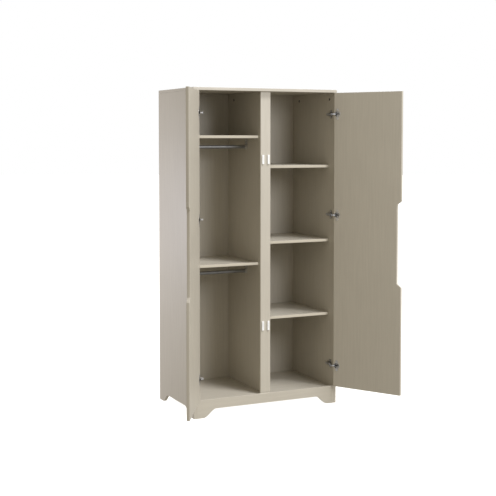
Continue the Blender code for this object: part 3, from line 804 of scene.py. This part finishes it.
class WARDROBE_OT_pins(bpy.types.Operator):
    """Puts the shelves on their pins"""

    bl_idname = "wardrobe.pins"
    bl_label = "Set Shelf Pins"

    def execute(self, context):
        fittings = context.scene.wardrobe_fittings
        radius, reach = fittings.pin_radius, fittings.pin_reach
        wide = radius * PIN_COLLAR_WIDE
        profile = [(0.0, -PIN_COLLAR), (radius, -PIN_COLLAR), (wide, 0.0), (wide, PIN_COLLAR),
                   (radius, PIN_COLLAR), (radius, reach - PIN_CHAMFER), (radius - PIN_CHAMFER, reach),
                   (0.0, reach)]
        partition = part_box("centre_partition")
        bays = {"left": (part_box("left_side_panel")[1].x, partition[0].x),
                "right": (partition[1].x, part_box("right_side_panel")[0].x)}
        bm = bmesh.new()
        for shelf in LEFT_SHELVES + RIGHT_SHELVES:
            low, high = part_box(shelf)
            for y in (low.y + PIN_FROM_FRONT, high.y - PIN_FROM_BACK):
                for x, way in zip(bays[shelf.split("_")[0]], (1, -1)):
                    turned(bm, facing((x, y, low.z - wide), (way, 0, 0)), profile)
        finish = metal("shelf_pin_nickel", fittings.nickel, NICKEL_ROUGHNESS)
        add_piece("shelf_pins", bm, finish, "carcass")
        return {"FINISHED"}


class WARDROBE_OT_studio(bpy.types.Operator):
    """Lays the floor, lights the studio and sets up the camera"""

    bl_idname = "wardrobe.studio"
    bl_label = "Set Up Studio"

    def execute(self, context):
        studio = context.scene.wardrobe_studio
        floor = lay_floor(studio)
        surround(context.scene, studio)
        bands = bpy.data.objects["shelf_edge_bands"]
        left_end = bpy.data.objects["left_door_edge_band"]
        doors = [frame["nodes"][f"{label}_door"] for label, _ in SIDES]
        for name, angles in FAR_LIGHTS.items():
            light = far_light(name, angles, getattr(studio, name))
            light.data.color = studio.far_colour
            link(light, "receiver", "EXCLUDE", [floor, bands])
        side_light = near_light("side_light", SIDE_LIGHT, studio.side_power, studio.side_colour)
        front_light = near_light("front_light", FRONT_LIGHT, studio.front_power, studio.far_colour)
        for light in (side_light, front_light):
            link(light, "receiver", "EXCLUDE", [floor, bands, left_end])
        edge_light = far_light("edge_light", EDGE_LIGHT, studio.edge_light)
        link(edge_light, "receiver", "INCLUDE", [bands])
        link(edge_light, "blocker", "INCLUDE", doors)
        floor_light = far_light("floor_light", FLOOR_LIGHT, studio.floor_light)
        link(floor_light, "receiver", "INCLUDE", [floor])
        link(floor_light, "blocker", "INCLUDE", [floor])
        set_camera(context.scene, studio)
        return {"FINISHED"}


def lay_floor(studio):
    """A round floor that only the camera sees, so that it throws no colour on the wardrobe."""
    bm = bmesh.new()
    bmesh.ops.create_circle(bm, cap_ends=True, segments=FLOOR_STEPS, radius=studio.floor_radius)
    mesh = bpy.data.meshes.new("studio_floor")
    bm.to_mesh(mesh)
    bm.free()
    finish = Finish("studio_floor_paint")
    shade = [FLOOR_SHADE * c for c in studio.floor]
    tone = finish.mix(finish.noise(finish.place, FLOOR_BLOTCH_SIZE), studio.floor, shade)
    finish.feed(finish.shader.inputs["Base Color"], tone)
    finish.shine(roughness=FLOOR_ROUGHNESS)
    mesh.materials.append(finish.material)
    floor = bpy.data.objects.new("studio_floor", mesh)
    bpy.context.scene.collection.objects.link(floor)
    floor.visible_diffuse = False
    floor.visible_glossy = False
    return floor


def surround(scene, studio):
    """White behind the wardrobe, and softer as a light and where it is mirrored."""
    world = bpy.data.worlds.new("studio_surround")
    scene.world = world
    world.use_nodes = True
    nodes, links = world.node_tree.nodes, world.node_tree.links
    path = nodes.new("ShaderNodeLightPath")
    mirrored = nodes.new("ShaderNodeMixRGB")
    mirrored.inputs["Color1"].default_value = (*studio.ambient, 1.0)
    mirrored.inputs["Color2"].default_value = (studio.reflection, studio.reflection, studio.reflection, 1.0)
    links.new(path.outputs["Is Glossy Ray"], mirrored.inputs["Fac"])
    seen = nodes.new("ShaderNodeMixRGB")
    seen.inputs["Color2"].default_value = (1.0, 1.0, 1.0, 1.0)
    links.new(path.outputs["Is Camera Ray"], seen.inputs["Fac"])
    links.new(mirrored.outputs["Color"], seen.inputs["Color1"])
    links.new(seen.outputs["Color"], nodes["Background"].inputs["Color"])


def hang_light(name, kind, power):
    data = bpy.data.lights.new(name, kind)
    data.energy = power
    light = bpy.data.objects.new(name, data)
    bpy.context.scene.collection.objects.link(light)
    return light


def link(light, part, state, objects):
    """Names the objects that a light reaches, or that block it, or those that it leaves out."""
    linked = bpy.data.collections.new(f"{light.name}_{part}")
    for item in objects:
        linked.objects.link(item)
    for entry in linked.collection_objects:
        entry.light_linking.link_state = state
    setattr(light.light_linking, f"{part}_collection", linked)


def near_light(name, spot, power, colour):
    """A round light aimed at the wardrobe."""
    place, size = spot
    light = hang_light(name, "AREA", power)
    light.data.color = colour
    light.data.shape = "DISK"
    light.data.size = size
    light.visible_camera = False
    light.location = place
    light.rotation_euler = (LIGHT_TARGET - light.location).to_track_quat("-Z", "Y").to_euler()
    return light


def far_light(name, angles, power):
    """Even light from far off, by its turn, rise and spread."""
    turn, rise, spread = angles
    light = hang_light(name, "SUN", power)
    light.data.angle = math.radians(spread)
    light.rotation_euler = (math.radians(90.0 - rise), 0.0, math.radians(turn))
    return light


def set_camera(scene, studio):
    data = bpy.data.cameras.new("studio_camera")
    data.sensor_width = SENSOR_WIDTH
    data.lens = studio.lens
    data.shift_y = CAMERA_SHIFT
    camera = bpy.data.objects.new("studio_camera", data)
    scene.collection.objects.link(camera)
    camera.location = CAMERA_PLACE
    camera.rotation_euler = (math.radians(90.0 - CAMERA_PITCH), 0.0, math.radians(-CAMERA_YAW))
    scene.camera = camera
    scene.view_settings.view_transform = "Standard"


OPERATORS = (WARDROBE_OT_boards, WARDROBE_OT_bands, WARDROBE_OT_doors, WARDROBE_OT_backs, WARDROBE_OT_rails,
             WARDROBE_OT_catches, WARDROBE_OT_hinges, WARDROBE_OT_cams, WARDROBE_OT_pins, WARDROBE_OT_studio)
SETTINGS = {"wardrobe_lacquer": WardrobeLacquer, "wardrobe_fittings": WardrobeFittings,
            "wardrobe_studio": WardrobeStudio}


class WARDROBE_PT_sidebar(bpy.types.Panel):
    """Lists the wardrobe's settings and steps"""

    bl_idname = "WARDROBE_PT_sidebar"
    bl_label = "Cream Wardrobe"
    bl_space_type = "VIEW_3D"
    bl_region_type = "UI"
    bl_category = "Wardrobe"

    def draw(self, context):
        for name, group in SETTINGS.items():
            box = self.layout.box()
            for key in group.__annotations__:
                box.prop(getattr(context.scene, name), key)
        for operator in OPERATORS:
            self.layout.operator(operator.bl_idname)


def register():
    for group in SETTINGS.values():
        bpy.utils.register_class(group)
    for operator in OPERATORS:
        bpy.utils.register_class(operator)
    bpy.utils.register_class(WARDROBE_PT_sidebar)
    for name, group in SETTINGS.items():
        setattr(bpy.types.Scene, name, bpy.props.PointerProperty(type=group))


def unregister():
    for name in SETTINGS:
        delattr(bpy.types.Scene, name)
    bpy.utils.unregister_class(WARDROBE_PT_sidebar)
    for operator in reversed(OPERATORS):
        bpy.utils.unregister_class(operator)
    for group in reversed(list(SETTINGS.values())):
        bpy.utils.unregister_class(group)


def main():
    register()
    bpy.ops.wardrobe.boards()
    bpy.ops.wardrobe.bands()
    bpy.ops.wardrobe.doors()
    bpy.ops.wardrobe.backs()
    bpy.ops.wardrobe.rails()
    bpy.ops.wardrobe.catches()
    bpy.ops.wardrobe.hinges()
    bpy.ops.wardrobe.cams()
    bpy.ops.wardrobe.pins()
    bpy.ops.wardrobe.studio()


if __name__ == "__main__":
    main()
